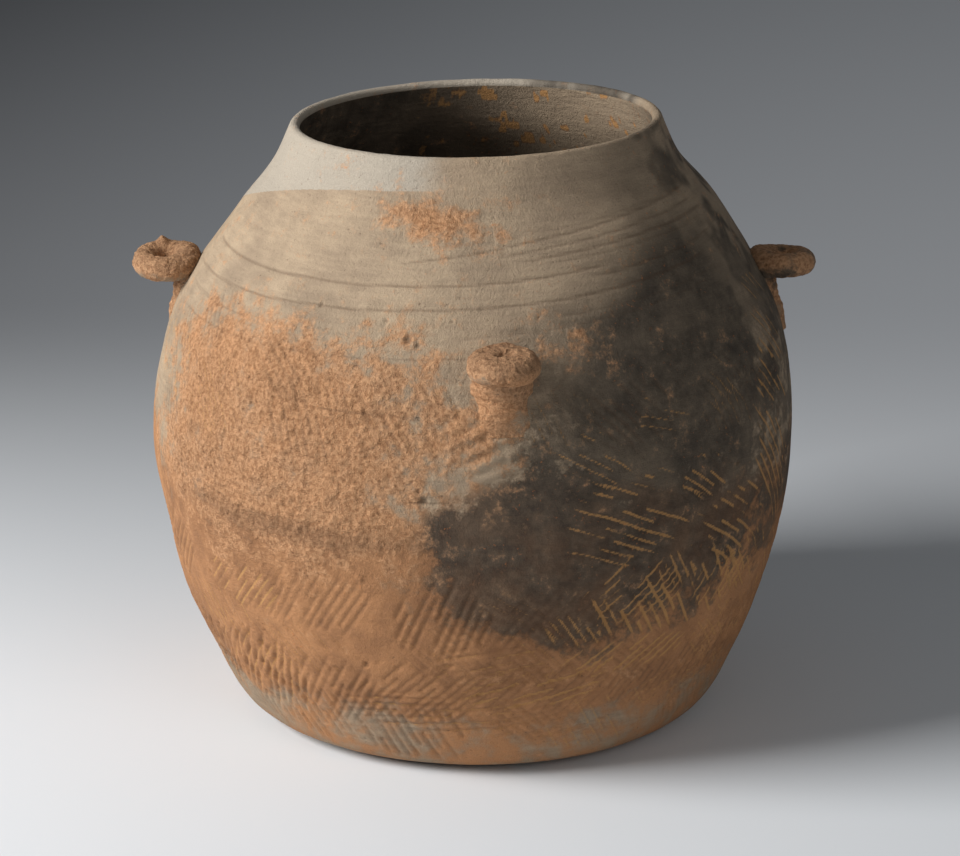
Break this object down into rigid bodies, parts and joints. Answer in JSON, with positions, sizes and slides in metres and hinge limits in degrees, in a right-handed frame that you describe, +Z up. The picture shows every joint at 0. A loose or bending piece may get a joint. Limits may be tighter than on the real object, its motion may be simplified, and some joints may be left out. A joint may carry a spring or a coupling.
{
  "type": "jar",
  "caption": "Coil-built storage jar of fired clay with a wide short-necked mouth, a full belly, a flat foot and ring lugs on the shoulder.",
  "frame": {"origin": "centre of the flat foot, on the plane that the jar stands on", "axes": "+Z up the jar's axis, -Y towards the jar's front lug, +X to the viewer's right"},
  "size_m": [0.335, 0.3387, 0.2961],
  "materials": {
    "clay_lower": "matte",
    "clay_belly": "matte",
    "clay_shoulder": "matte",
    "clay_neck": "matte",
    "clay_lug": "matte"
  },
  "bodies": {
    "root": {"base_disc": "clay_lower", "heel_ring": "clay_lower", "lower_wall_ring": "clay_lower", "lower_belly_ring": "clay_belly", "upper_belly_ring": "clay_belly", "shoulder_ring": "clay_shoulder", "neck_ring": "clay_neck", "lip_coil": "clay_neck", "front_lug_loop": "clay_lug", "front_lug_web": "clay_lug", "right_lug_loop": "clay_lug", "right_lug_web": "clay_lug", "back_lug_loop": "clay_lug", "back_lug_web": "clay_lug", "left_lug_loop": "clay_lug", "left_lug_web": "clay_lug"}
  },
  "joints": []
}
